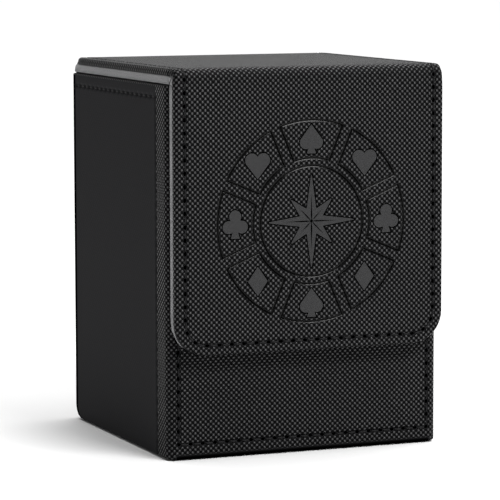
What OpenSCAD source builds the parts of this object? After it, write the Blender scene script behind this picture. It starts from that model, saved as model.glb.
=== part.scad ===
// Flip-top card deck box: a rigid board box wrapped in embossed leatherette, with a two-panel
// magnetic lid that folds over the top and down the front.
// +X is the user's right, -Y the front, +Z up. The origin is at the centre of the footprint, on the table.

/* [Box] */
// Outer width of the box body
body_w = 79; // [70:1:100]
// Outer depth of the box body, without the lid
body_d = 77; // [40:1:120]
// Height of the rim above the table
rim_z = 100; // [95:1:130]
// Radius of the two front upright corners
front_r = 2.4; // [1.5:0.1:5]
// Radius of the two back upright corners
back_r = 1.6; // [1.5:0.1:5]
// Radius of the long edge where back and base meet
heel_r = 3.6; // [2:0.1:6]

/* [Wall layers] */
// Leatherette thickness
skin_t = 0.9; // [0.6:0.1:1.2]
// Greyboard thickness of the walls and base
board_t = 2.0; // [1.8:0.1:3]
// Microfibre lining thickness
lining_t = 0.7; // [0.4:0.1:1.2]

/* [Lid] */
// How much narrower the lid and flap are than the body, on each side
lid_inset = 0.5; // [0:0.1:1.5]
// Thickness of the outer leatherette-wrapped layer
lid_outer_t = 2.0; // [1.6:0.1:2.6]
// Thickness of the inner microfibre-wrapped layer
lid_inner_t = 2.2; // [1.6:0.1:2.6]
// How far the inner layer stays in from the sides of the outer one
inner_inset = 0.3; // [0.1:0.1:1]
// Height of the flap's lower edge above the table
flap_z = 28.3; // [10:0.1:30]
// Radius of the flap's two lower corners
flap_r = 9; // [4:0.5:15]
// Outer radius of the fold between lid and flap
fold_r = 2.8; // [2:0.1:3.8]
// Gap between the lid and the rim
lid_gap = 0.3; // [0.2:0.05:0.6]
// Gap between the flap and the front wall
flap_gap = 0.3; // [0.2:0.05:0.6]
// How much narrower the strip on the back is than the body, on each side
spine_inset = 1.5; // [1:0.1:3]

/* [Stitching] */
// Distance between stitches
stitch_pitch = 3.5; // [2.5:0.1:5]
// Length of the thread that shows between two needle holes
stitch_len = 2.5; // [1.5:0.1:2.5]
// Thread diameter
thread_d = 0.5; // [0.3:0.05:0.6]
// Width of the pressed channel that holds the thread
channel_w = 1.1; // [0.8:0.1:1.4]
// Depth of that channel
channel_t = 0.35; // [0.2:0.05:0.4]
// Distance of a stitch line from the edge it follows
stitch_inset = 3; // [2.5:0.1:4]
// Distance of the side panels' upright stitch lines from the front corners
side_inset = 8.5; // [5:0.1:12]

/* [Closure] */
// Diameter of each disc magnet
magnet_d = 10; // [6:0.5:12]
// Distance of each magnet from the centre line
magnet_x = 20; // [10:1:25]
// Height of the magnets above the table
magnet_z = 39; // [36:1:45]

/* [Medallion] */
// Height of the medallion's centre above the table
medallion_z = 63.2; // [60:0.1:66]
// Outer radius of the ring of windows
window_r_out = 27.3; // [20:0.1:28]
// Inner radius of the ring of windows
window_r_in = 16.6; // [14:0.1:18]
// Radius of the circle inside the ring
circle_r = 15.1; // [12:0.1:16]
// Number of windows
window_count = 8; // [6:1:10]
// Width of the bar between two windows
bar_w = 2.4; // [1:0.1:4]
// Width of the pressed lines
line_w = 0.5; // [0.3:0.05:0.8]
// Depth of the pressed lines and symbols
press_t = 0.3; // [0.1:0.05:0.4]

/* [Hidden] */
$fn = 64;

front_y = -body_d / 2;                              // outer face of the front wall
back_y = body_d / 2;                                // outer face of the back wall, under the spine
body_z = skin_t;                                    // the body stands on the strip under the base
wall_t = skin_t + board_t;                          // leatherette and board
base_top = body_z + skin_t + board_t;               // upper face of the base board
inner_w = body_w - 2 * wall_t;                      // between the side boards
spine_flange = 12;                                  // leatherette turned under the base
seam = 0.05;                                        // extra length that makes a cut run clean through
magnet_t = 1.5;
magnet_play = 0.1;                                  // clearance round a magnet in its pocket
base_inset = 2;                                     // how far the strip under the base stays in from the front
medallion_turn = 90;                                // the first window points up

lid_w = body_w - 2 * lid_inset;
spine_w = body_w - 2 * spine_inset;
lid_t = lid_outer_t + lid_inner_t;                  // whole thickness of the lid
lid_z = rim_z + lid_gap;                            // underside of the lid
fold_y = front_y - flap_gap;                        // inside face of the flap
hinge_y = back_y + skin_t - lid_t;                  // centre of the back hinge's bend, at lid_z
outer_front = fold_y - lid_t + fold_r;              // front end of the lid's outer layer
outer_top = lid_z + lid_t - fold_r;                 // upper end of the flap's outer layer
inner_front = fold_y + lid_gap;                     // front end of the lid's inner layer
inner_top = lid_z - lid_gap;                        // upper end of the flap's inner layer
inner_end_r = lid_t - skin_t - 0.7;                 // rounding of the inner layer's back end
inner_w_lid = lid_w - 2 * inner_inset;
lid_outer_len = hinge_y - outer_front;
row_x = lid_w / 2 - stitch_inset;                   // the rows on the lid, flap and spine

leather = [0.16, 0.16, 0.17];
suede = [0.47, 0.47, 0.48];
greyboard = [0.55, 0.52, 0.47];
thread = [0.05, 0.05, 0.055];
magnet_silver = [0.75, 0.75, 0.78];

// ---------- face frames: x runs to the right of the face, y up it, z out of it ----------

module on_front(y) translate([0, y, 0]) rotate([90, 0, 0]) children();
module on_left(x) translate([x, 0, 0]) rotate([90, 0, -90]) children();
module on_right(x) translate([x, 0, 0]) rotate([90, 0, 90]) children();
module on_back(y) translate([0, y, 0]) rotate([90, 0, 180]) children();

// ---------- the body's outer form, drawn in by an inset ----------

module plan_corner(sx, y, sy, r) {
    translate([sx, y])
        difference() {
            translate([sx > 0 ? -r : -seam, sy > 0 ? -r : -seam]) square(r + seam);
            translate([sx > 0 ? -r : r, sy > 0 ? -r : r]) circle(r);
        }
}

// Plan of the body, with its four upright corners rounded.
module body_plan(inset) {
    half = body_w / 2 - inset;
    y0 = front_y + inset;
    y1 = back_y - inset;
    difference() {
        translate([-half, y0]) square([2 * half, y1 - y0]);
        for (side = [-1, 1]) {
            plan_corner(side * half, y0, -1, front_r - inset);
            plan_corner(side * half, y1, 1, back_r - inset);
        }
    }
}

// Side view of the body in y and z, with its heel rounded.
module body_profile(inset, top) {
    y0 = front_y + inset;
    y1 = back_y - inset;
    z0 = body_z + inset;
    r = heel_r - inset;
    difference() {
        translate([y0, z0]) square([y1 - y0, top - z0]);
        translate([y1, z0])
            difference() {
                translate([-r, -seam]) square(r + seam);
                translate([-r, r]) circle(r);
            }
    }
}

module body_form(inset, top) {
    intersection() {
        linear_extrude(top) body_plan(inset);
        translate([-body_w / 2, 0, 0])
            rotate([90, 0, 90])
                linear_extrude(body_w) body_profile(inset, top);
    }
}

// ---------- stitch lines ----------

// A U-shaped line: down a leg, round a corner, along the foot, round the other corner and up.
// It starts at [0, 0]. u_point gives [x, y, heading] at a distance s along it.
function u_arc(r) = PI * r / 2;
function u_length(leg, foot, r) = 2 * leg + foot + 2 * u_arc(r);
function u_point(s, leg, foot, r) =
    let (arc = u_arc(r))
    s < leg ? [0, -s, -90] :
    s < leg + arc ?
        let (a = (s - leg) / r * 180 / PI) [r - r * cos(a), -leg - r * sin(a), a - 90] :
    s < leg + arc + foot ? [r + s - leg - arc, -leg - r, 0] :
    s < leg + 2 * arc + foot ?
        let (a = (s - leg - arc - foot) / r * 180 / PI)
        [r + foot + r * sin(a), -leg - r * cos(a), a] :
    [2 * r + foot, -leg + s - leg - 2 * arc - foot, 90];

module stitch(at, depth) {
    translate([at[0], at[1], thread_d / 2 - depth])
        rotate([0, 0, at[2]])
            rotate([0, 90, 0])
                cylinder(h = stitch_len, d = thread_d, center = true);
}

// Evenly spaced stitches along a straight line that runs up from [x, y].
module stitch_column(x, y, length) {
    count = floor(length / stitch_pitch);
    for (i = [0 : count - 1]) stitch([x, y + (i + 0.5) * length / count, 90], channel_t);
}

module stitch_line(x, y, length) {
    count = floor(length / stitch_pitch);
    for (i = [0 : count - 1]) stitch([x + (i + 0.5) * length / count, y, 0], channel_t);
}

module stitch_u(leg, foot, r) {
    length = u_length(leg, foot, r);
    count = floor(length / stitch_pitch);
    for (i = [0 : count - 1]) stitch(u_point((i + 0.5) * length / count, leg, foot, r), channel_t);
}

module channel_column(x, y, length) {
    translate([x - channel_w / 2, y, -channel_t]) cube([channel_w, length, channel_t + seam]);
}

module channel_line(x, y, length) {
    translate([x, y - channel_w / 2, -channel_t]) cube([length, channel_w, channel_t + seam]);
}

// ---------- rows on the body ----------

front_row_w = body_w - 2 * stitch_inset;            // between the front panel's two upright rows
front_row_z = body_z + stitch_inset + 0.4;          // height of its lower row
side_row_y = front_y + side_inset;                  // the side panels' upright row
side_end_y = back_y - 3;                            // back end of their upper row
side_top_z = rim_z - 3.4;                           // height of their upper row
side_low_z = body_z + 0.6;                          // lower end of their upright row
spine_row_z = 8;                                    // where the spine's rows start, above the heel

module front_channels() {
    on_front(front_y) {
        for (side = [-1, 1])
            channel_column(side * front_row_w / 2, front_row_z - channel_w / 2, rim_z - front_row_z - 1);
        channel_line(-front_row_w / 2, front_row_z, front_row_w);
    }
}

module front_stitching() {
    color(thread)
        on_front(front_y) {
            for (side = [-1, 1])
                stitch_column(side * front_row_w / 2, front_row_z + 1, rim_z - front_row_z - 4);
            stitch_line(-front_row_w / 2 + 1, front_row_z, front_row_w - 2);
        }
}

// On a side panel, seen from outside: u_row is where the upright row stands, u_end where the
// upper row ends.
module side_channels(u_row, u_end) {
    channel_column(u_row, side_low_z, side_top_z - side_low_z + channel_w / 2);
    channel_line(min(u_row, u_end), side_top_z, abs(u_end - u_row));
}

module side_stitches(u_row, u_end) {
    stitch_column(u_row, side_low_z, side_top_z - side_low_z - 1);
    stitch_line(min(u_row, u_end) + 0.5, side_top_z, abs(u_end - u_row) - 1);
}

module left_stitching() {
    color(thread) on_left(-body_w / 2) side_stitches(-side_row_y, -side_end_y);
}

module right_stitching() {
    color(thread) on_right(body_w / 2) side_stitches(side_row_y, side_end_y);
}

// ---------- box body ----------

// One leatherette wrap round the four walls, turned in over the rim and under the base.
module body_wrap() {
    hole_w = body_w - 2 * spine_flange;
    hole_d = body_d - 2 * spine_flange;
    color(leather)
        difference() {
            body_form(0, rim_z);
            body_form(skin_t, rim_z - skin_t);
            translate([-inner_w / 2, front_y + wall_t, base_top])
                cube([inner_w, body_d - 2 * wall_t, rim_z]);
            translate([-hole_w / 2, front_y + spine_flange, 0]) cube([hole_w, hole_d, body_z + 2 * skin_t]);
            front_channels();
            on_left(-body_w / 2) side_channels(-side_row_y, -side_end_y);
            on_right(body_w / 2) side_channels(side_row_y, side_end_y);
        }
}

// The strip that runs under the base, round the heel and up the back to the hinge.
module spine_profile(inset) {
    y1 = back_y + skin_t - inset;
    r = heel_r + skin_t - inset;
    difference() {
        translate([front_y + base_inset, inset]) square([y1 - front_y - base_inset, lid_z - inset]);
        translate([y1, inset])
            difference() {
                translate([-r, -seam]) square(r + seam);
                translate([-r, r]) circle(r);
            }
    }
}

module spine_cover() {
    color(leather)
        difference() {
            translate([-spine_w / 2, 0, 0])
                rotate([90, 0, 90])
                    linear_extrude(spine_w)
                        difference() {
                            spine_profile(0);
                            intersection() {
                                spine_profile(skin_t);
                                translate([front_y, skin_t]) square([body_d, lid_z]);
                            }
                        }
            on_back(back_y + skin_t)
                for (side = [-1, 1])
                    channel_column(side * row_x, spine_row_z, lid_z - spine_row_z + seam);
        }
}

module spine_stitching() {
    color(thread)
        on_back(back_y + skin_t)
            for (side = [-1, 1])
                stitch_column(side * row_x, spine_row_z + 0.5, lid_z - spine_row_z - 1.5);
}

// A wall board: the part of the board layer that lies in a box.
module board_slab(at, size) {
    intersection() {
        body_form(skin_t, rim_z - skin_t);
        translate(at) cube(size);
    }
}

module magnet_pair(r, thickness) {
    for (side = [-1, 1]) translate([side * magnet_x, magnet_z, 0]) cylinder(h = thickness, r = r);
}

module front_board() {
    color(greyboard)
        difference() {
            board_slab([-body_w / 2, front_y, base_top], [body_w, wall_t, rim_z]);
            on_front(front_y + skin_t)
                translate([0, 0, -magnet_t - magnet_play])
                    magnet_pair(magnet_d / 2 + magnet_play, magnet_t + magnet_play + seam);
        }
}

module case_magnets() {
    color(magnet_silver)
        on_front(front_y + skin_t) translate([0, 0, -magnet_t]) magnet_pair(magnet_d / 2, magnet_t);
}

module back_board() {
    color(greyboard) board_slab([-body_w / 2, back_y - wall_t, base_top], [body_w, wall_t, rim_z]);
}

module side_board(side) {
    x = side > 0 ? body_w / 2 - wall_t : -body_w / 2;
    color(greyboard) board_slab([x, front_y + wall_t, base_top], [wall_t, body_d - 2 * wall_t, rim_z]);
}

module left_board() side_board(-1);

module right_board() side_board(1);

module base_board() {
    color(greyboard) board_slab([-body_w / 2, front_y, 0], [body_w, body_d, base_top]);
}

module end_lining(y) {
    color(suede) translate([-inner_w / 2, y, base_top]) cube([inner_w, lining_t, rim_z - base_top]);
}

module front_lining() end_lining(front_y + wall_t);

module back_lining() end_lining(back_y - wall_t - lining_t);

module side_lining(x) {
    color(suede)
        translate([x, front_y + wall_t + lining_t, base_top])
            cube([lining_t, body_d - 2 * (wall_t + lining_t), rim_z - base_top]);
}

module left_lining() side_lining(-inner_w / 2);

module right_lining() side_lining(inner_w / 2 - lining_t);

module base_lining() {
    color(suede)
        translate([-inner_w / 2 + lining_t, front_y + wall_t + lining_t, base_top])
            cube([inner_w - 2 * lining_t, body_d - 2 * (wall_t + lining_t), lining_t]);
}

// ---------- lid panels: a leatherette tray over a board, and a microfibre tray under another ----------

// Plan of a panel between two heights, with its two lower corners rounded.
module panel_plan(width, bottom, top, r) {
    difference() {
        translate([-width / 2, bottom]) square([width, top - bottom]);
        if (r > 0)
            for (side = [-1, 1]) plan_corner(side * width / 2, bottom, -1, r);
    }
}

// The lid lies in a frame with y towards the hinge, the flap in one with y up and z out of the box.
module on_lid() translate([0, 0, lid_z]) children();
module on_flap() translate([0, fold_y, 0]) rotate([90, 0, 0]) children();

// A profile in y and z, extruded across the box.
module across(width) {
    translate([-width / 2, 0, 0]) rotate([90, 0, 90]) linear_extrude(width) children();
}

module lid_cover() {
    color(leather)
        on_lid()
            difference() {
                translate([0, 0, lid_inner_t])
                    linear_extrude(lid_outer_t) panel_plan(lid_w, outer_front, hinge_y, 0);
                translate([0, 0, lid_inner_t - seam])
                    linear_extrude(lid_outer_t - skin_t + seam)
                        panel_plan(lid_w - 2 * skin_t, outer_front - seam, hinge_y + seam, 0);
                translate([0, 0, lid_t])
                    for (side = [-1, 1])
                        channel_column(side * row_x, outer_front - seam, lid_outer_len + 2 * seam);
            }
}

module lid_outer_board() {
    color(greyboard)
        on_lid()
            translate([0, 0, lid_inner_t])
                linear_extrude(lid_outer_t - skin_t)
                    panel_plan(lid_w - 2 * skin_t, outer_front, hinge_y, 0);
}

// The lid's inner layer, with a rounded back end that turns inside the hinge.
module lid_inner_profile(inset, front) {
    translate([front, lid_z + inset]) square([hinge_y - front, lid_inner_t - inset]);
    intersection() {
        translate([hinge_y, lid_z]) circle(inner_end_r - inset);
        translate([hinge_y - seam, lid_z + inset]) square([lid_t, lid_inner_t - inset]);
    }
}

module lid_inner_board() {
    color(greyboard) across(inner_w_lid - 2 * lining_t) lid_inner_profile(lining_t, inner_front);
}

module lid_lining() {
    color(suede)
        difference() {
            across(inner_w_lid) lid_inner_profile(0, inner_front);
            across(inner_w_lid - 2 * lining_t) lid_inner_profile(lining_t, inner_front - seam);
            translate([-inner_w_lid / 2 + lining_t, inner_front - seam, lid_z + lid_inner_t - seam])
                cube([inner_w_lid - 2 * lining_t, hinge_y + inner_end_r, lid_t]);
        }
}

module lid_stitching() {
    color(thread)
        on_lid()
            translate([0, 0, lid_t])
                for (side = [-1, 1]) stitch_column(side * row_x, outer_front, lid_outer_len);
}

// ---------- folds ----------

// A quarter disc in y and z about a centre, towards the front or the back.
module quarter(y, z, r, towards) {
    translate([y, z])
        intersection() {
            circle(r);
            translate([towards < 0 ? -2 * r : 0, 0]) square(2 * r);
        }
}

module fold_channels(y, z, r, towards) {
    for (side = [-1, 1])
        translate([side * row_x, 0, 0])
            across(channel_w)
                difference() {
                    quarter(y, z, r + 1, towards);
                    quarter(y, z, r - channel_t, towards);
                }
}

module back_hinge() {
    color(leather)
        difference() {
            across(spine_w)
                difference() {
                    quarter(hinge_y, lid_z, lid_t, 1);
                    quarter(hinge_y, lid_z, lid_t - skin_t, 1);
                }
            fold_channels(hinge_y, lid_z, lid_t, 1);
        }
}

module hinge_lining() {
    color(suede)
        across(spine_w)
            difference() {
                quarter(hinge_y, lid_z, lid_t - skin_t, 1);
                quarter(hinge_y, lid_z, inner_end_r + 0.2, 1);
            }
}

// The leatherette over the front fold, with its two edges turned in.
module front_fold() {
    color(leather)
        difference() {
            across(lid_w) quarter(outer_front, outer_top, fold_r, -1);
            across(lid_w - 2 * skin_t) quarter(outer_front, outer_top, fold_r - skin_t, -1);
            across(lid_w + 1)
                translate([fold_y - lid_inner_t, lid_z]) square([lid_inner_t + seam, lid_inner_t]);
            fold_channels(outer_front, outer_top, fold_r, -1);
        }
}

module fold_lining() {
    color(suede)
        across(inner_w_lid)
            difference() {
                translate([fold_y - lid_inner_t, inner_top])
                    square([inner_front - fold_y + lid_inner_t, lid_z + lid_inner_t - inner_top]);
                translate([fold_y, inner_top - seam]) square([lid_t, lid_z - inner_top + seam]);
            }
}

// ---------- medallion on the flap ----------

module windows(inset) {
    step = 360 / window_count;
    difference() {
        circle(window_r_out - inset);
        circle(window_r_in + inset);
        for (i = [0 : window_count - 1])
            rotate(medallion_turn + (i + 0.5) * step)
                translate([0, -bar_w / 2 - inset]) square([window_r_out + 1, bar_w + 2 * inset]);
    }
}

module medallion_lines() {
    difference() {
        windows(0);
        windows(line_w);
    }
    difference() {
        circle(circle_r);
        circle(circle_r - line_w);
    }
}

module diamond_symbol() {
    polygon([[0, 4], [2.9, 0], [0, -4], [-2.9, 0]]);
}

module heart_symbol() {
    for (side = [-1, 1]) translate([side * 1.65, 1.2]) circle(1.95);
    polygon([[-3.4, 0.35], [0, -3.9], [3.4, 0.35], [0, 1.8]]);
}

module stem() {
    polygon([[0, 0], [1.4, -3.9], [-1.4, -3.9]]);
}

module spade_symbol() {
    for (side = [-1, 1]) translate([side * 1.6, -0.9]) circle(1.8);
    polygon([[-3.15, 0], [0, 4], [3.15, 0], [0, -1.4]]);
    stem();
}

module club_symbol() {
    translate([0, 2]) circle(1.75);
    for (side = [-1, 1]) translate([side * 1.9, -0.8]) circle(1.75);
    circle(1.1);
    stem();
}

// The four suits stand upright in the windows, the same on the left and on the right.
module window_symbol(i) {
    suit = min(i, window_count - i) % 4;
    if (suit == 0) spade_symbol();
    if (suit == 1) heart_symbol();
    if (suit == 2) club_symbol();
    if (suit == 3) diamond_symbol();
}

// Compass star of eight points, each split by a raised rib along its middle.
module compass_star() {
    difference() {
        polygon([
            for (k = [0 : 15])
                (k % 4 == 0 ? 12.6 : k % 4 == 2 ? 8.4 : 3.5) * [sin(k * 22.5), cos(k * 22.5)]
        ]);
        for (k = [0 : 3]) rotate(k * 45) square([0.45, 30], center = true);
    }
}

module medallion() {
    middle_r = (window_r_in + window_r_out) / 2;
    medallion_lines();
    for (i = [0 : window_count - 1])
        rotate(-i * 360 / window_count)
            translate([0, middle_r])
                rotate(i * 360 / window_count) window_symbol(i);
    compass_star();
}

// ---------- flap ----------

row_leg = outer_top - flap_z - flap_r;              // straight stretch of the flap's side rows
row_r = flap_r - stitch_inset;
row_foot = lid_w - 2 * flap_r;

module flap_channel() {
    half = channel_w / 2;
    low = flap_z + stitch_inset;
    difference() {
        panel_plan(2 * row_x + channel_w, low - half, outer_top + seam, row_r + half);
        panel_plan(2 * row_x - channel_w, low + half, outer_top + 2 * seam, row_r - half);
    }
}

module flap_cover() {
    color(leather)
        on_flap()
            difference() {
                translate([0, 0, lid_inner_t])
                    linear_extrude(lid_outer_t) panel_plan(lid_w, flap_z, outer_top, flap_r);
                translate([0, 0, lid_inner_t - seam])
                    linear_extrude(lid_outer_t - skin_t + seam)
                        panel_plan(lid_w - 2 * skin_t, flap_z + skin_t, outer_top + seam, flap_r - skin_t);
                translate([0, 0, lid_t - channel_t]) linear_extrude(1) flap_channel();
                translate([0, medallion_z, lid_t - press_t]) linear_extrude(1) medallion();
            }
}

module flap_outer_board() {
    color(greyboard)
        on_flap()
            translate([0, 0, lid_inner_t])
                linear_extrude(lid_outer_t - skin_t)
                    panel_plan(lid_w - 2 * skin_t, flap_z + skin_t, outer_top, flap_r - skin_t);
}

// Plan of the flap's inner layer, drawn in by an inset.
module flap_inner_plan(inset, top) {
    panel_plan(inner_w_lid - 2 * inset, flap_z + inner_inset + inset, top, flap_r - inner_inset - inset);
}

module flap_inner_board() {
    color(greyboard)
        on_flap()
            difference() {
                translate([0, 0, lining_t])
                    linear_extrude(lid_inner_t - lining_t) flap_inner_plan(lining_t, inner_top);
                magnet_pair(magnet_d / 2 + magnet_play, lid_t);
            }
}

module flap_magnets() {
    color(magnet_silver)
        on_flap() translate([0, 0, lining_t]) magnet_pair(magnet_d / 2, lid_inner_t - lining_t);
}

module flap_lining() {
    color(suede)
        on_flap()
            difference() {
                linear_extrude(lid_inner_t) flap_inner_plan(0, inner_top);
                translate([0, 0, lining_t]) linear_extrude(lid_t) flap_inner_plan(lining_t, inner_top + seam);
            }
}

module flap_stitching() {
    color(thread)
        on_flap() translate([-row_x, outer_top, lid_t]) stitch_u(row_leg, row_foot, row_r);
}

body_wrap();
spine_cover();
front_board();
back_board();
left_board();
right_board();
base_board();
front_lining();
back_lining();
left_lining();
right_lining();
base_lining();
case_magnets();
front_stitching();
left_stitching();
right_stitching();
spine_stitching();
lid_cover();
lid_outer_board();
lid_inner_board();
lid_lining();
lid_stitching();
back_hinge();
hinge_lining();
front_fold();
fold_lining();
flap_cover();
flap_outer_board();
flap_inner_board();
flap_lining();
flap_magnets();
flap_stitching();
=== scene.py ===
import math

import bmesh
import bpy
import numpy as np
from mathutils import Matrix, Vector


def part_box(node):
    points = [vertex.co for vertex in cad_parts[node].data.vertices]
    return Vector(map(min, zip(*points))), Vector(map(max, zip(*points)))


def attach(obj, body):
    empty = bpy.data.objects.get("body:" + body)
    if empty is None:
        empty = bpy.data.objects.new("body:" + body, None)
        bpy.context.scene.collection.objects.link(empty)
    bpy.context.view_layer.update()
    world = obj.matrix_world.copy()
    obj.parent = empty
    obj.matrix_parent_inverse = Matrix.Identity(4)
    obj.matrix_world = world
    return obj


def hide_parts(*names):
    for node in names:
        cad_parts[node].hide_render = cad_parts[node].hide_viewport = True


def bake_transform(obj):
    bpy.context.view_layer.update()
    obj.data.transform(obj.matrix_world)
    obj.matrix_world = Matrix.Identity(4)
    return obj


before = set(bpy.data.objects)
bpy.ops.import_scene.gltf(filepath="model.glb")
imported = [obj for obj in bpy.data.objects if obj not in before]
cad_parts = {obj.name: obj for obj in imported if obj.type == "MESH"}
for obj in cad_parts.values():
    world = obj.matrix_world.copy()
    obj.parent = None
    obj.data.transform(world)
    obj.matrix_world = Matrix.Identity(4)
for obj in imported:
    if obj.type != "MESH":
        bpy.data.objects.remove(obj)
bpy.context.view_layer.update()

# A leatherette card deck box. Everything below is measured in millimetres in the CAD's own frame and turned
# into metres when a mesh is made. Places come from the CAD nodes' boxes.

MM = 0.001


def node_mm(name):
    """Lowest and highest corner of a CAD node, in millimetres."""
    low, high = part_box(name)
    return np.array(low) / MM, np.array(high) / MM


# ---------- dimensions taken from the frame ----------

lid_lo, lid_hi = node_mm("lid_cover")
flap_lo = node_mm("flap_cover")[0]
lining_lo, lining_hi = node_mm("lid_lining")
flap_lining_lo, flap_lining_hi = node_mm("flap_lining")
fold_lo, fold_hi = node_mm("front_fold")
fold_lining_lo, fold_lining_hi = node_mm("fold_lining")
hinge_lo, hinge_hi = node_mm("back_hinge")
hinge_lining_hi = node_mm("hinge_lining")[1]
spine_lo, spine_hi = node_mm("spine_cover")
wrap_lo, wrap_hi = node_mm("body_wrap")
left_row_lo, left_row_hi = node_mm("left_stitching")

SKIN = 0.9  # leatherette thickness
THREAD_R = 0.25
WALL_HEEL_R = 3.6  # the back wall's bend into the base
HEEL_TOP = wrap_lo[2] + WALL_HEEL_R
LAYER = lid_hi[2] - lid_lo[2]  # outer layer of the lid: leatherette turned over board
HALF = lid_hi[0]  # half the lid's width
FRONT = flap_lo[1]  # outer face of the flap
FOLD_R = fold_hi[1] - fold_lo[1]  # outer radius of the front fold
FOLD_C = (fold_hi[1], fold_lo[2])  # centre of its arc, in y and z
HINGE_R = hinge_hi[1] - hinge_lo[1]  # outer radius of the back hinge
HINGE_C = (hinge_lo[1], hinge_lo[2])  # centre of its arc
BACK = spine_hi[1]  # outer face of the spine
ROW_X = node_mm("flap_stitching")[1][0] - THREAD_R  # stitch rows on flap, lid and spine
FLAP_BOTTOM = flap_lo[2]

PITCH = 3.5  # between stitches
GAP = 0.5  # from a needle hole's middle to where its thread shows
ROW_DEPTH = 0.14  # how deep the pressed channel of a stitch row is
HOLE_DEPTH = 0.6  # how much deeper the needle holes go
CORNER_R = 9.0  # the flap's lower corners
STITCH_INSET = HALF - ROW_X

MEDALLION_Z = 63.2  # height of its centre
CIRCLE_R = 15.1  # inner circle
WINDOW_IN = 16.6  # inner and outer radius of the ring of windows
WINDOW_OUT = 27.3
WINDOWS = 8
BAR_W = 2.4  # between two windows
LINE_W = 0.55  # pressed line
GROOVE_W = 0.4  # from a line's middle to where its groove ends
PRESS = 0.2  # how deep the lines are
MOAT_W = 0.18  # of the pressed moat round each mark
MARK_REACH = 6  # no suit mark reaches further from its middle


# ---------- small helpers ----------

def smooth(t):
    """Rises from 0 to 1 with a soft start and end as t goes from 0 to 1."""
    t = np.clip(t, 0, 1)
    return t * t * (3 - 2 * t)


def spread(*stretches):
    """Grid lines over joined stretches, each given as (start, end, spacing)."""
    lines = []
    for start, end, step in stretches:
        count = max(1, round(abs(end - start) / step))
        lines.extend(np.linspace(start, end, count, endpoint=False))
    lines.append(stretches[-1][1])
    return np.array(lines)


def mirrored(lines):
    """Lines from 0 upwards, mirrored to both sides of 0."""
    return np.concatenate([-lines[:0:-1], lines])


def grid_index(rows, columns):
    """Numbers of a grid's points."""
    return np.arange(rows * columns).reshape(rows, columns)


def grid_faces(rows, columns, wrap_columns=False, start=0):
    index = grid_index(rows, columns) + start
    if wrap_columns:
        index = np.concatenate([index, index[:, :1]], axis=1)
    quads = np.stack([index[:-1, :-1], index[1:, :-1], index[1:, 1:], index[:-1, 1:]], axis=-1)
    return quads.reshape(-1, 4).tolist()


def tube_faces(rows, columns, start=0):
    """Faces of a closed tube whose rings are the rows, with a cap on each end."""
    faces = grid_faces(rows, columns, wrap_columns=True, start=start)
    return faces + [list(range(first, first + columns)) for first in (start, start + (rows - 1) * columns)]


def bridge(first, second):
    """Faces between two lines with as many points each."""
    return np.stack([first[:-1], second[:-1], second[1:], first[1:]], axis=-1).tolist()


def quarter_turn(count):
    return np.linspace(0, math.pi / 2, count)


def run_along(places):
    """Distance of each place from the first, along the line through them."""
    return np.concatenate([[0], np.cumsum(np.linalg.norm(np.diff(places, axis=0), axis=1))])


def unit(vectors):
    return vectors / np.linalg.norm(vectors, axis=-1, keepdims=True)


def make_piece(name, points, faces, material, grain=None, **values):
    """A smooth closed mesh from points in millimetres, merged where they meet.

    grain is each point's place on the flat leatherette. Other values are stored under their own names: dots
    is how much of the embossing shows, and below 0 how dark the painted shade is in a needle hole, on the
    seamline by a back corner, along a lower edge or on an underside, and line and symbol are the medallion's."""
    points = np.asarray(points, float).reshape(-1, 3)
    mesh = bpy.data.meshes.new(name)
    mesh.from_pydata((points * MM).tolist(), [], faces)
    flat = points
    if grain is not None:
        flat = np.column_stack([np.asarray(grain).reshape(-1, 2), np.zeros(len(points))])
    place = mesh.attributes.new("grain", "FLOAT_VECTOR", "POINT")
    place.data.foreach_set("vector", (flat * MM).astype(np.float32).ravel())
    for key, value in values.items():
        attribute = mesh.attributes.new(key, "FLOAT", "POINT")
        attribute.data.foreach_set("value", np.asarray(value, np.float32).ravel())
    bm = bmesh.new()
    bm.from_mesh(mesh)
    bmesh.ops.remove_doubles(bm, verts=bm.verts, dist=1e-6)
    bmesh.ops.recalc_face_normals(bm, faces=bm.faces)
    bm.to_mesh(mesh)
    bm.free()
    mesh.shade_smooth()
    mesh.materials.append(material)
    piece = bpy.data.objects.new(name, mesh)
    bpy.context.scene.collection.objects.link(piece)
    return piece


# ---------- materials ----------

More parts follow.
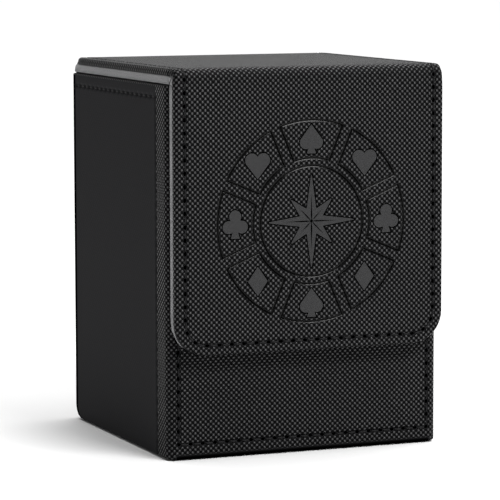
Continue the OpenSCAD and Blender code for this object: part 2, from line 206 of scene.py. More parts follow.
class Nodes:
    """A few short calls for building a node material."""

    def __init__(self, name):
        self.material = bpy.data.materials.new(name)
        self.material.use_nodes = True
        self.tree = self.material.node_tree
        self.shader = self.tree.nodes["Principled BSDF"]

    def add(self, kind, **settings):
        node = self.tree.nodes.new(kind)
        for key, value in settings.items():
            setattr(node, key, value)
        return node

    def link(self, source, target):
        if isinstance(source, (int, float)):
            target.default_value = source
        else:
            self.tree.links.new(source, target)

    def math(self, operation, a, b=0.0, c=0.0):
        node = self.add("ShaderNodeMath", operation=operation)
        for socket, value in zip(node.inputs, (a, b, c)):
            self.link(value, socket)
        return node.outputs[0]

    def remap(self, value, low, high, to_low=0.0, to_high=1.0, kind="SMOOTHSTEP"):
        node = self.add("ShaderNodeMapRange", interpolation_type=kind)
        for socket, item in zip(node.inputs, (value, low, high, to_low, to_high)):
            self.link(item, socket)
        return node.outputs[0]

    def attribute(self, name, output="Vector"):
        return self.add("ShaderNodeAttribute", attribute_name=name).outputs[output]

    def object_place(self):
        return self.add("ShaderNodeTexCoord").outputs["Object"]

    def noise(self, place, per_metre, detail=2.0, roughness=0.5):
        node = self.add("ShaderNodeTexNoise")
        self.link(place, node.inputs["Vector"])
        node.inputs["Scale"].default_value = per_metre
        node.inputs["Detail"].default_value = detail
        node.inputs["Roughness"].default_value = roughness
        return node.outputs["Fac"]

    def mix(self, share, low, high):
        """A colour between low and high."""
        node = self.add("ShaderNodeMix", data_type="RGBA")
        self.link(share, node.inputs["Factor"])
        for socket, value in ((node.inputs["A"], low), (node.inputs["B"], high)):
            if isinstance(value, tuple):
                socket.default_value = (*value, 1)
            else:
                self.link(value, socket)
        return node.outputs["Result"]

    def bump(self, height, depth_mm, below=None):
        node = self.add("ShaderNodeBump")
        node.inputs["Distance"].default_value = depth_mm * MM
        self.link(height, node.inputs["Height"])
        if below is not None:
            self.link(below, node.inputs["Normal"])
        return node.outputs["Normal"]

    def set(self, **values):
        names = {
            "color": "Base Color", "roughness": "Roughness", "normal": "Normal", "metallic": "Metallic",
            "specular": "Specular IOR Level", "sheen": "Sheen Weight", "sheen_roughness": "Sheen Roughness",
        }
        for key, value in values.items():
            socket = self.shader.inputs[names[key]]
            if isinstance(value, tuple):
                socket.default_value = (*value, 1)
            else:
                self.link(value, socket)
        return self.material


DOT_PITCH = 1.48  # between embossed dots of one row, the next row is staggered
EMBOSS = 0.3  # how far the dots are raised


def leather_material():
    """Black imitation leather with raised dots on a diagonal lattice, smooth where it is pressed.

    The line and symbol attributes are as medallion() gives them, and dots as make_piece() says. Its colour
    holds painted highlight and shade: lighter dot crests, near-black valleys, and near black in the pressed
    lines, round the marks and wherever dots is below 0."""
    n = Nodes("leatherette")
    wave = 2 * math.pi / (DOT_PITCH * MM)
    flat = n.attribute("grain")
    line = n.attribute("line", "Fac")
    symbol = n.attribute("symbol", "Fac")
    mark = n.remap(symbol, 0.47, 0.53)
    outline = n.math("SUBTRACT", n.remap(symbol, 0.36, 0.44), mark)
    groove = n.math("MAXIMUM", n.remap(line, 0.58, 0.98, kind="LINEAR"), outline)
    wall = n.math("SUBTRACT", n.remap(line, 0.58, 0.66), n.remap(line, 0.84, 0.92))
    ground = n.math("MULTIPLY", n.math("SUBTRACT", 1.0, n.remap(groove, 0.0, 0.2)),
                    n.math("SUBTRACT", 1.0, mark))
    dots = n.attribute("dots", "Fac")
    shown = n.math("MULTIPLY", n.math("MAXIMUM", dots, 0.0), ground)
    # Painted shade: near black with little shine in the pressed lines and round the marks, and wherever dots
    # is below 0: in needle holes, under the flap's foot, along the front's lower edge and at the back
    # corners.
    dark = n.math("MAXIMUM", n.remap(groove, 0.0, 0.3), n.remap(dots, -0.1, -0.7))
    wander = n.noise(flat, 900, 2.0)
    wide = n.noise(flat, 45, 3.0)
    split = n.add("ShaderNodeSeparateXYZ")
    n.link(flat, split.inputs[0])
    shift = n.math("MULTIPLY_ADD", wander, 0.9, -0.45)
    across = n.math("MULTIPLY_ADD", split.outputs["X"], wave, shift)
    along = n.math("MULTIPLY_ADD", split.outputs["Y"], wave, shift)
    lattice = n.math("MULTIPLY", n.math("COSINE", across), n.math("COSINE", along))
    domes = n.math("MULTIPLY", n.remap(lattice, -0.3, 1.0), shown)
    crests = n.math("MULTIPLY", n.remap(lattice, -0.2, 0.9), shown)
    uneven = n.remap(wide, 0.3, 0.7, 0.8, 1.1, kind="LINEAR")
    pits = n.math("ADD", n.math("MULTIPLY", groove, -0.25), n.math("MULTIPLY", mark, -0.1))
    height = n.math("ADD", n.math("MULTIPLY", domes, uneven), pits)
    pores = n.noise(flat, 9000, 3.0, 0.6)
    fine = n.bump(pores, 0.012)
    relief = n.bump(height, EMBOSS, below=fine)
    # Painted highlight and shade: the dot crests get a lighter colour and more specular, and the valleys
    # between them a near-black colour with little specular, for light on the crests and shade in the valleys.
    # The marks sit between the two.
    lit = n.math("MAXIMUM", crests, n.math("MULTIPLY", mark, 0.52))
    plain = n.remap(dots, 0.5, 0.15)
    shaded_valley, crest = (0.0012, 0.0012, 0.0014), (0.0200, 0.0200, 0.0212)
    smooth_face, shadow = (0.0165, 0.0165, 0.0175), (0.0001, 0.0001, 0.0001)
    leather = n.mix(plain, n.mix(lit, shaded_valley, crest), smooth_face)
    # the painted shade colour laid over the leatherette
    color = n.mix(dark, leather, shadow)
    dull = n.math("MULTIPLY", n.math("SUBTRACT", 1.0, dark), n.math("MULTIPLY_ADD", plain, -0.7, 1.0))
    shine = n.math("MULTIPLY", n.remap(lit, 0.0, 1.0, 0.03, 0.72, kind="LINEAR"), dull)
    shine = n.math("MULTIPLY_ADD", wall, 0.11, shine)
    gloss = n.math("MULTIPLY_ADD", wall, 0.38, n.math("MULTIPLY", lit, 0.14))
    rough = n.math("ADD", n.math("MULTIPLY", pores, 0.12), n.math("SUBTRACT", 0.5, gloss))
    return n.set(color=color, roughness=rough, normal=relief, specular=shine)


def suede_material():
    """Light grey microfibre with a short soft nap."""
    n = Nodes("microfibre")
    place = n.attribute("grain")
    nap = n.noise(place, 5200, 4.0, 0.7)
    tufts = n.noise(place, 1100, 3.0, 0.6)
    brushed = n.noise(place, 260, 4.0, 0.65)
    tone = n.math("MULTIPLY_ADD", nap, 0.2, n.math("MULTIPLY", brushed, 0.4))
    tone = n.math("MULTIPLY_ADD", tufts, 0.4, tone)
    color = n.mix(n.remap(tone, 0.36, 0.64), (0.095, 0.095, 0.099), (0.203, 0.203, 0.208))
    return n.set(color=color, roughness=0.95, normal=n.bump(nap, 0.09), specular=0.15,
                 sheen=0.35, sheen_roughness=0.5)


def thread_material():
    """Black twisted thread with a slight lustre."""
    n = Nodes("thread")
    fibre = n.noise(n.attribute("grain"), 14000, 2.0)
    color = n.mix(n.remap(fibre, 0.35, 0.65), (0.002, 0.002, 0.0023), (0.012, 0.012, 0.0127))
    return n.set(color=color, roughness=0.6, normal=n.bump(fibre, 0.05), specular=0.14)


def board_material():
    """Raw grey paperboard with flecks of fibre."""
    n = Nodes("greyboard")
    place = n.object_place()
    fleck = n.noise(place, 1500, 5.0, 0.75)
    cloud = n.noise(place, 90, 2.0)
    base = n.mix(cloud, (0.24, 0.22, 0.19), (0.32, 0.30, 0.265))
    color = n.mix(n.remap(fleck, 0.55, 0.75, 0.0, 0.5), base, (0.12, 0.11, 0.10))
    return n.set(color=color, roughness=0.9, normal=n.bump(fleck, 0.05), specular=0.2)


def magnet_material():
    """Nickel plate, slightly hazed."""
    n = Nodes("nickel")
    haze = n.noise(n.object_place(), 700, 4.0)
    rough = n.remap(haze, 0.3, 0.7, 0.16, 0.34, kind="LINEAR")
    color = n.mix(haze, (0.55, 0.54, 0.50), (0.66, 0.65, 0.61))
    return n.set(color=color, roughness=rough, normal=n.bump(haze, 0.004), metallic=1.0)


LEATHER = leather_material()
SUEDE = suede_material()
THREAD = thread_material()
BOARD = board_material()
MAGNET = magnet_material()


# ---------- stitch rows: the pressed channel, the needle holes and the thread ----------

CHANNEL_HALF, CHANNEL_SIDE = 0.22, 0.42  # half the channel's flat width, and the width of its sides
SWELL, SWELL_ASIDE, SWELL_W = 0.03, 1.15, 0.5  # the leatherette swells a little beside the channel
HOLE_ACROSS, HOLE_ALONG = 0.5, 0.6  # how far a needle hole reaches
PULL, PULL_ACROSS, PULL_ALONG = 0.07, 0.9, 0.8  # how the leatherette round a hole is pulled down
RUN_OUT = 0.6  # how far the channel goes on past its end holes


def row_relief(aside, along, count, length, size=1.0):
    """Height of the leatherette near a stitch row, from the distance aside from it and the place along it.

    size makes the needle holes smaller or larger. Each hole also pulls the leatherette round it down."""
    step = length / count
    channel = -ROW_DEPTH * (1 - smooth((np.abs(aside) - CHANNEL_HALF) / CHANNEL_SIDE))
    swell = SWELL * np.exp(-((np.abs(aside) - SWELL_ASIDE) / SWELL_W) ** 2)
    place = np.clip(along, 0, length)
    nearest = np.round(place / step) * step
    gap = along - nearest
    across, lengthways = HOLE_ACROSS * size, HOLE_ALONG * size
    hole = -HOLE_DEPTH * size * np.exp(-(aside / across) ** 2 - (gap / lengthways) ** 2)
    pull = -PULL * np.exp(-(aside / PULL_ACROSS) ** 2 - (gap / PULL_ALONG) ** 2)
    on_row = smooth((along + RUN_OUT) / 0.5) * smooth((length + RUN_OUT - along) / 0.5)
    return (channel + swell + hole + pull) * on_row


FLAT_AT, HOLE_SHADE_AT = 0.12, 0.3  # depths from which the dots fade and a hole is painted dark, as shade in the hole


def dots_left(height):
    """How much of the embossing is left where a stitch row presses the leatherette down, and -1 in a hole,
    which is painted as shade.
    """
    return 1 - smooth((-height - FLAT_AT) / 0.15) - smooth((-height - HOLE_SHADE_AT) / 0.2)


RINGS, SIDES = 15, 12  # of one stitch's mesh
PLY_TURN = 1.5  # length in which the two plies turn half round each other
PLY_OUT = 0.16  # how far the plies stand out, as a share of the radius
SUNK, DIP, ARCH = 0.19, 0.5, 0.05  # how deep a stitch lies, and how its ends dip and its middle arches
SLANT, TAPER = 0.05, 0.25  # how askew it lies, and how much thinner its ends are


def stitch_rings(centres, ups):
    """Points of one stitch along places between two needle holes: two-ply thread that dips at its ends."""
    runs = np.gradient(centres, axis=0)
    lengths = np.linalg.norm(runs, axis=1)
    total = lengths.sum() * (RINGS - 1) / RINGS
    sides = np.cross(ups, runs / lengths[:, None])
    t = np.linspace(0, 1, RINGS)
    reach = np.abs(2 * t - 1)
    lift = -SUNK - DIP * smooth((reach - 0.6) / 0.4) ** 2 + ARCH * (1 - reach ** 2)
    slant = SLANT * (1 - 2 * t)
    turn = np.linspace(0, 2 * math.pi, SIDES, endpoint=False)
    twist = t * total / PLY_TURN * math.pi
    lobes = 1 + PLY_OUT * np.cos(2 * (turn[None, :] - twist[:, None]))
    girth = THREAD_R * lobes * (1 - TAPER * smooth((reach[:, None] - 0.75) / 0.25))
    middle = centres + lift[:, None] * ups + slant[:, None] * sides
    spin = np.cos(turn)[None, :, None] * sides[:, None, :] + np.sin(turn)[None, :, None] * ups[:, None, :]
    return middle[:, None, :] + girth[..., None] * spin


def thread_piece(name, stitches):
    """One mesh of many stitches, each given as its places and its upward directions."""
    points, faces = [], []
    for centres, ups in stitches:
        first = len(points) * RINGS * SIDES
        points.append(stitch_rings(centres, ups).reshape(-1, 3))
        faces += tube_faces(RINGS, SIDES, first)
    return make_piece(name, np.concatenate(points), faces, THREAD)


def straight_row(start, end, up, count):
    """Stitches from one end of a straight row to the other, hole to hole."""
    start, end = np.asarray(start, float), np.asarray(end, float)
    step = (end - start) / count
    inset = unit(step) * GAP
    ups = np.tile(np.asarray(up, float), (RINGS, 1))
    return [(np.linspace(start + step * k + inset, start + step * (k + 1) - inset, RINGS), ups)
            for k in range(count)]


# ---------- the strip: one run of leatherette over flap, lid and spine ----------

UNDERSIDE_SHADE = 0.8  # how dark the painted shade is on the leatherette's underside at the flap's foot; the wrap's rings start with it too, before each is set again
EDGE_R, SOFTER = 0.95, 0.85  # radius of a turned edge, and how much is added at the bends
EDGE_IN = 0.35  # small radius where a turned edge meets the layer below
HINGE_SHARE = 0.6  # how much softer the hinge's edge is, next to the fold's
PINCH, PINCH_W = 0.25, 2.0  # how the strip is drawn in at the middle of the front fold
NARROW_BEFORE, NARROW_RUN = 2, 5  # where the strip grows narrower: from before the hinge, over a run
BACK_LEVEL = 0.45  # depth of a piece's hollow back, as a share of its edge's
FLAP_RUN = FOLD_C[1] - FLAP_BOTTOM
HEEL_R = HEEL_TOP - spine_lo[2]

# Stretches of the strip seen from the side: (length, radius of the bend or None). A place on the strip is u
# across it and s along its outer face, where s is 0 at the lower end of the front fold.
STRETCHES = [
    (FLAP_RUN, None),
    (FOLD_R * math.pi / 2, FOLD_R),
    (lid_hi[1] - lid_lo[1], None),
    (HINGE_R * math.pi / 2, HINGE_R),
    (HINGE_C[1] - HEEL_TOP, None),
    (HEEL_R * math.pi / 2, HEEL_R),
    (BACK - HEEL_R - spine_lo[1], None),
]
ENDS = np.cumsum([-FLAP_RUN] + [length for length, radius in STRETCHES])
_, FOLD_START, LID_START, HINGE_START, SPINE_START, HEEL_START, BASE_START, STRIP_END = ENDS
OVERLAP = 1.0  # flat stretch that a bend's piece takes from its neighbours


def strip_path(s):
    """Place in y and z, and outward direction, of the strip's outer face at s."""
    s = np.asarray(s, float)
    place = np.zeros(s.shape + (2,))
    normal = np.zeros(s.shape + (2,))
    corner, heading = np.array([FRONT, FLAP_BOTTOM]), 90.0
    for (length, radius), begin in zip(STRETCHES, ENDS):
        here = s >= begin - 1e-9
        run = np.minimum(s[here] - begin, length)
        turned = np.zeros_like(run) if radius is None else run / radius
        angle = math.radians(heading) - turned
        out = np.stack([-np.sin(angle), np.cos(angle)], axis=-1)
        first = np.array([-math.sin(math.radians(heading)), math.cos(math.radians(heading))])
        if radius is None:
            place[here] = corner + np.outer(run, [first[1], -first[0]])
            corner = corner + length * np.array([first[1], -first[0]])
        else:
            centre = corner - radius * first
            place[here] = centre + radius * out
            heading -= 90
            corner = centre + radius * np.array([first[1], -first[0]])
        normal[here] = out
    return place, normal


def near_bend(s, reach):
    """1 in the middle of the front fold, HINGE_SHARE in the middle of the hinge, falling to 0 beside them."""
    total = np.zeros_like(s)
    for start, end, part in ((FOLD_START, LID_START, 1.0), (HINGE_START, SPINE_START, HINGE_SHARE)):
        total = total + part * np.exp(-((s - (start + end) / 2) / reach) ** 2)
    return total


def edge_profile(past, radius, inner_radius, depth):
    """How far out and how far down a turned edge goes, at a distance along the leatherette past the flat."""
    quarter = math.pi / 2
    wall = np.maximum(depth - radius - inner_radius, 0)
    turn_end = radius * quarter
    wall_end = turn_end + wall
    foot_end = wall_end + inner_radius * quarter
    turn = np.clip(past / radius, 0, quarter)
    back = np.clip((past - wall_end) / inner_radius, 0, quarter)
    out = np.minimum(past, 0) + radius * np.sin(turn) - inner_radius * (1 - np.cos(back))
    out = out - np.maximum(past - foot_end, 0)
    down = radius * (1 - np.cos(turn)) + np.clip(past - turn_end, 0, wall) + inner_radius * np.sin(back)
    return out, down


def hole_lines(start, end, count):
    """Grid lines along a stitch row: closer together at each needle hole."""
    step = (end - start) / count
    shares = np.array([0.0, 0.075, 0.17, 0.5, 0.83, 0.925])
    lines = (np.arange(count)[:, None] + shares[None, :]) * step + start
    return np.append(lines.ravel(), end)


def joined(*lists):
    """Sorted grid lines from several lists, without near doubles."""
    lines = np.sort(np.concatenate(lists))
    return lines[np.concatenate([[True], np.diff(lines) > 0.02])]


ROW_REACH = 1.7  # how far aside from a stitch row its grid lines go
ACROSS_ROW = spread((-ROW_REACH, -0.75, 0.32), (-0.75, 0.75, 0.15), (0.75, ROW_REACH, 0.32))
LEG_LINES = np.concatenate([ACROSS_ROW[:-1], spread((ROW_REACH, STITCH_INSET + 3.4, 0.24))])
STRIP_LINES = mirrored(np.concatenate([spread((0, ROW_X - ROW_REACH, 2.2))[:-1], ROW_X + LEG_LINES]))

LID_COUNT = math.floor((HINGE_START - LID_START) / PITCH)
SPINE_LOW = HEEL_TOP + 3.5  # where the rows on the spine end, above the heel
SPINE_RUN = HINGE_C[1] - SPINE_LOW
SPINE_STOP = SPINE_START + SPINE_RUN
SPINE_COUNT = math.floor(SPINE_RUN / PITCH)
# Each row on the strip: where it starts and ends, and its number of stitches.
ROWS = [
    (FOLD_START, LID_START, 1),
    (LID_START, HINGE_START, LID_COUNT),
    (HINGE_START, SPINE_START, 2),
    (SPINE_START, SPINE_STOP, SPINE_COUNT),
]


def strip_relief(u, s):
    """Height of the strip's outer face from its stitch rows."""
    aside = np.abs(u) - ROW_X
    height = flap_relief(u, -s)
    for start, end, count in ROWS:
        here = (s >= start) & ((s < end) | (start == SPINE_START))
        height = np.where(here, row_relief(aside, s - start, count, end - start), height)
    return height


def strip_depth(s):
    """Thickness at the strip's edge: leatherette over board, thinning to leatherette alone at the hinge."""
    turned = (s - HINGE_START) / (SPINE_START - HINGE_START)
    return LAYER - (LAYER - SKIN) * smooth(1.15 * turned)


def strip_half(s):
    """Half the strip's width: pinched in the middle of the front fold, narrower from the lid's end on."""
    narrow = smooth((s - HINGE_START + NARROW_BEFORE) / NARROW_RUN)
    pinch = PINCH * np.exp(-((s - LID_START / 2) / PINCH_W) ** 2)
    return HALF - (HALF - spine_hi[0]) * narrow - pinch


def shaped_edge(over, s, depth):
    """Outward and downward place of a turned edge, over millimetres past the outline."""
    radius = np.minimum(EDGE_R + SOFTER * near_bend(s, 3.0), 0.6 * depth)
    out, down = edge_profile(over + radius, radius, np.minimum(EDGE_IN, 0.3 * depth), depth)
    return out - radius, down


def strip_piece(name, s_lines):
    """A closed stretch of the strip: its outer face, its hollow back and its two ends."""
    u, s = np.meshgrid(STRIP_LINES, s_lines, indexing="ij")
    depth, half = strip_depth(s), strip_half(s)
    out, down = shaped_edge(np.abs(u) - half, s, depth)
    height = strip_relief(u, s)
    d, inner = strip_depth(s_lines), strip_half(s_lines) - SKIN
    back_x = np.stack([inner, inner, -inner, -inner])
    back_level = np.stack([-d, -BACK_LEVEL * d, -BACK_LEVEL * d, -d])
    x = np.concatenate([np.sign(u) * (half + out), back_x])
    level = np.concatenate([height - down, back_level])
    along = np.concatenate([s, np.tile(s_lines, (4, 1))])
    place, normal = strip_path(along)
    yz = place + normal * level[..., None]
    points = np.concatenate([x[..., None], yz], axis=-1)
    rows, columns = along.shape
    index = grid_index(rows, columns)
    faces = grid_faces(rows, columns) + bridge(index[-1], index[0])
    faces += [index[:, 0].tolist(), index[:, -1].tolist()]
    grain = np.stack([np.concatenate([u, back_x]), along], axis=-1)
    shown = 1 - 0.4 * np.clip(near_bend(along, 2.6), 0, 1)
    shown[:-4] *= 1 - 0.55 * smooth((np.abs(u) - half) / 0.5)
    shown = shown * dots_left(np.concatenate([height, np.zeros(back_x.shape)]))
    piece = make_piece(name, points, faces, LEATHER, grain=grain, dots=shown)
    return piece


def cross_stitches(start, end, count):
    """Stitches of the strip's two rows between two places along it."""
    holes = np.linspace(start, end, count + 1)
    stitches = []
    for side in (-1, 1):
        for a, b in zip(holes[:-1], holes[1:]):
            place, normal = strip_path(np.linspace(a + GAP, b - GAP, RINGS))
            centres = np.column_stack([np.full(RINGS, side * ROW_X), place])
            ups = np.column_stack([np.zeros(RINGS), normal])
            stitches.append((centres, ups))
    return stitches


def strip_thread(name, start, end, count, *nodes):
    piece = thread_piece(name, cross_stitches(start, end, count))
    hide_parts(*nodes)
    return piece


# ---------- the flap: a turned panel with rounded lower corners and the pressed medallion ----------

LEG = FLAP_RUN - CORNER_R
ROW_R = CORNER_R - STITCH_INSET
FOOT = 2 * (HALF - CORNER_R)
U_LENGTH = 2 * LEG + FOOT + math.pi * ROW_R
FLAP_COUNT = math.floor(U_LENGTH / PITCH)


def panel_place(u, d, half, leg, radius):
    """Maps a square grid to a panel with two rounded lower corners. u runs across the panel and d down it.

    Returns the distance past the outline, the outline's nearest point, the outward direction there and its
    angle from sideways to down."""
    aside, below = np.abs(u) - (half - radius), d - leg
    far = np.maximum(np.maximum(aside, below), 1e-9)
    corner = (aside > 0) & (below > 0)
    share_below, share_aside = np.clip(below / far, 0, 1), np.clip(aside / far, 0, 1)
    angle = np.where(aside >= below, share_below * math.pi / 4, math.pi / 2 - share_aside * math.pi / 4)
    nx, nd = np.cos(angle), np.sin(angle)
    nx = np.where(corner, nx, np.where(aside >= below, 1.0, 0.0))
    nd = np.where(corner, nd, np.where(aside >= below, 0.0, 1.0))
    base_x = np.where(corner, half - radius, np.where(aside >= below, half - radius, np.abs(u))) + radius * nx
    base_d = np.where(corner, leg, np.where(aside >= below, d, leg)) + radius * nd
    past = np.maximum(aside, below) - radius
    angle = np.where(corner, angle, np.where(aside >= below, 0.0, math.pi / 2))
    return past, (np.sign(u), base_x, base_d), (nx, nd), angle


def flap_relief(u, d):
    """Height of the flap's face from its stitch row."""
    past, _, _, angle = panel_place(u, d, HALF, LEG, CORNER_R)
    aside = past + STITCH_INSET
    straight = np.minimum(d, LEG)
    level = np.where(angle > math.pi / 2 - 1e-6, LEG + ROW_R * math.pi / 2 + (HALF - CORNER_R - np.abs(u)),
                     straight + ROW_R * angle)
    along = np.where(u < 0, level, U_LENGTH - level)
    return row_relief(aside, along, FLAP_COUNT, U_LENGTH)


def circle_at(x, y, cx, cy, r):
    """Signed distance to a circle, negative inside."""
    return np.hypot(x - cx, y - cy) - r


def polygon_at(x, y, corners):
    """Signed distance to a polygon, negative inside."""
    corners = np.asarray(corners, float)
    nearest = np.full(x.shape, 1e9)
    inside = np.zeros(x.shape, bool)
    for (ax, ay), (bx, by) in zip(corners, np.roll(corners, -1, axis=0)):
        ex, ey = bx - ax, by - ay
        wx, wy = x - ax, y - ay
        t = np.clip((wx * ex + wy * ey) / (ex * ex + ey * ey), 0, 1)
        nearest = np.minimum(nearest, np.hypot(wx - ex * t, wy - ey * t))
        crosses = (ay > y) != (by > y)
        rise = np.where(by == ay, 1e-9, by - ay)
        inside ^= crosses & (x < ex * (y - ay) / rise + ax)
    return np.where(inside, -nearest, nearest)


STEM = [[0, 0], [1.4, -3.9], [-1.4, -3.9]]  # of the spade and the club


def spade_at(x, y):
    ears = circle_at(np.abs(x), y, 1.6, -0.9, 1.8)
    leaf = polygon_at(x, y, [[-3.15, 0], [0, 4], [3.15, 0], [0, -1.4]])
    return np.minimum(np.minimum(ears, leaf), polygon_at(x, y, STEM))


def heart_at(x, y):
    lobes = circle_at(np.abs(x), y, 1.65, 1.2, 1.95)
    return np.minimum(lobes, polygon_at(x, y, [[-3.4, 0.35], [0, -3.9], [3.4, 0.35], [0, 1.8]]))


def club_at(x, y):
    leaves = np.minimum(circle_at(x, y, 0, 2, 1.75), circle_at(np.abs(x), y, 1.9, -0.8, 1.75))
    middle = np.minimum(circle_at(x, y, 0, 0, 1.1), polygon_at(x, y, STEM))
    return np.minimum(leaves, middle)


def diamond_at(x, y):
    return polygon_at(x, y, [[0, 4], [2.9, 0], [0, -4], [-2.9, 0]])


SUITS = [spade_at, heart_at, club_at, diamond_at]


LONG, NOTCH, SHORT = 12.2, 3.3, 8.1  # the compass star's corners, from its centre
RIB_W = 0.24  # half the width of the line that splits each point


def star_at(x, y):
    """Compass star of eight points, each split by a line that narrows to nothing at its two ends."""
    reach = (LONG, NOTCH, SHORT, NOTCH) * 4
    turn = [k * math.pi / 8 for k in range(16)]
    star = polygon_at(x, y, [[r * math.sin(a), r * math.cos(a)] for r, a in zip(reach, turn)])
    angle, from_centre = np.arctan2(x, y), np.hypot(x, y)
    nearest = np.round(angle / (math.pi / 4))
    rib = from_centre * np.abs(np.sin(angle - nearest * math.pi / 4))
    tip = np.where(nearest % 2 == 0, LONG + 0.4, SHORT + 0.3)
    width = RIB_W - 0.45 * from_centre / tip - RIB_W * np.exp(-from_centre ** 2)
    return np.maximum(star - 0.2, width - rib)


def medallion(x, z):
    """Height of the pressed medallion, nearness to its lines (1 on a line, 0 from 1 mm off) and depth inside
    its marks (0.5 on an outline, 1 from 1 mm inside, 0 from 1 mm outside)."""
    y = z - MEDALLION_Z
    r = np.hypot(x, y)
    step = 2 * math.pi / WINDOWS
    angle = np.arctan2(x, y)
    folded = np.abs(angle - np.round(angle / step) * step)
    bar = BAR_W / 2 - r * np.sin(step / 2 - folded)
    window = np.maximum(np.maximum(WINDOW_IN - r, r - WINDOW_OUT), bar)
    line = np.minimum(np.abs(window + LINE_W / 2), np.abs(r - CIRCLE_R + LINE_W / 2))
    groove = np.clip(1 - line / GROOVE_W, 0, 1)
    middle = (WINDOW_IN + WINDOW_OUT) / 2
    symbol = star_at(x, y)
    for i in range(WINDOWS):
        suit = SUITS[min(i, WINDOWS - i) % 4]
        cx, cy = middle * math.sin(i * step), middle * math.cos(i * step)
        close = np.hypot(x - cx, y - cy) < MARK_REACH
        symbol[close] = np.minimum(symbol[close], suit(x[close] - cx, y[close] - cy))
    mark = 1 - smooth((symbol + 0.22) / 0.3)
    moat = np.exp(-((symbol - 0.1) / MOAT_W) ** 2)
    height = -PRESS * np.maximum(np.maximum(groove, 0.5 * mark), moat)
    return height, np.clip(1 - line, 0, 1), np.clip(0.5 - symbol / 2, 0, 1)


def panel_piece(name, material, u_lines, d_lines, half, leg, radius, depth, edge_at, place_at, surface=None):
    """A closed turned panel: its face, its turned edge, its hollow back and its upper end.

    edge_at shapes the turned edge, place_at puts points into the box, and surface gives the face's height
    and the values stored with it."""
    u, d = np.meshgrid(u_lines, d_lines, indexing="ij")
    past, (side, base_x, base_d), (nx, nd), _ = panel_place(u, d, half, leg, radius)
    out, down = edge_at(past, d)
    flat_x, flat_d = side * (base_x + nx * past), base_d + nd * past
    x, drop = side * (base_x + nx * out), base_d + nd * out
    height, values = surface(u, d, flat_x, flat_d) if surface else (np.zeros_like(u), {})
    height = height * (past < 1.5)
    rows, columns = u.shape
    index = grid_index(rows, columns)
    border = np.concatenate([index[0, :], index[1:, -1], index[-1, -2::-1]])
    bx, bd = side * (base_x - nx * SKIN), base_d - nd * SKIN
    ring_x, ring_d = bx.ravel()[border], bd.ravel()[border]
    count = len(border)
    ring = np.arange(count) + rows * columns
    all_x = np.concatenate([x.ravel(), ring_x, ring_x])
    all_d = np.concatenate([drop.ravel(), ring_d, ring_d])
    level = np.concatenate([(height - down).ravel(), np.repeat([-depth, -BACK_LEVEL * depth], count)])
    faces = grid_faces(rows, columns) + bridge(border, ring) + bridge(ring, ring + count)
    faces.append((ring + count).tolist())
    faces.append(index[:, 0].tolist() + [ring[-1], ring[-1] + count, ring[0] + count, ring[0]])
    grain_x = np.concatenate([flat_x.ravel(), ring_x, ring_x])
    grain_d = np.concatenate([flat_d.ravel(), ring_d, ring_d])
    values = {key: np.concatenate([value.ravel(), np.zeros(2 * count)]) for key, value in values.items()}
    grain = np.stack([grain_x, -grain_d], axis=-1)
    return make_piece(name, place_at(all_x, all_d, level), faces, material, grain=grain, **values)


FINE, COARSE = 0.25, 0.42  # grid spacing on the medallion and beside it


def flap_leather():
    low = FLAP_RUN - STITCH_INSET
    rim = WINDOW_OUT + 0.5
    middle = FOLD_C[1] - MEDALLION_Z
    u_lines = spread((0, rim, FINE), (rim, ROW_X - ROW_REACH, COARSE))
    u_lines = mirrored(np.concatenate([u_lines[:-1], ROW_X + LEG_LINES]))
    d_lines = spread((OVERLAP, middle - rim, COARSE), (middle - rim, middle + rim, FINE),
                     (middle + rim, low - ROW_REACH, COARSE))
    d_lines = np.concatenate([d_lines[:-1], low + LEG_LINES])

    def edge_at(past, d):
        return shaped_edge(past, -d, np.full_like(d, LAYER))

    def place_at(x, d, level):
        return np.column_stack([x, FRONT - level, FOLD_C[1] - d])

    def surface(u, d, x, down):
        row = flap_relief(u, d)
        pressed, near_line, in_mark = medallion(x, FOLD_C[1] - down)
        past, _, (_, facing_down), _ = panel_place(u, d, HALF, LEG, CORNER_R)
        # painted shade on the turned edge where it faces down, under the flap's foot
        under = facing_down * smooth((past + 0.25) / 0.3)
        dots = dots_left(row) * (1 - under) - UNDERSIDE_SHADE * under
        return row + pressed, {"dots": dots, "line": near_line, "symbol": in_mark}

    piece = panel_piece("flap_leather", LEATHER, u_lines, d_lines, HALF, LEG, CORNER_R, LAYER,
                        edge_at, place_at, surface)
    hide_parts("flap_cover")
    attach(piece, "flap")


def u_point(s):
    """Place on the flap's U-shaped row, across and down, from the distance s along it."""
    if s > U_LENGTH / 2:
        across, down = u_point(U_LENGTH - s)
        return -across, down
    quarter = math.pi / 2
    angle = min(max(s - LEG, 0) / ROW_R, quarter)
    on_foot = max(s - LEG - ROW_R * quarter, 0)
    return ROW_R * (1 - math.cos(angle)) + on_foot - ROW_X, min(s, LEG) + ROW_R * math.sin(angle)


def flap_thread():
    step = U_LENGTH / FLAP_COUNT
    stitches = []
    for k in range(FLAP_COUNT):
        run = [u_point(s) for s in np.linspace(k * step + GAP, (k + 1) * step - GAP, RINGS)]
        centres = np.array([(x, FRONT, FOLD_C[1] - d) for x, d in run])
        stitches.append((centres, np.tile([0.0, -1.0, 0.0], (RINGS, 1))))
    piece = thread_piece("flap_thread", stitches)
    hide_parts("flap_stitching")
    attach(piece, "flap")


# ---------- the body's wrap ----------

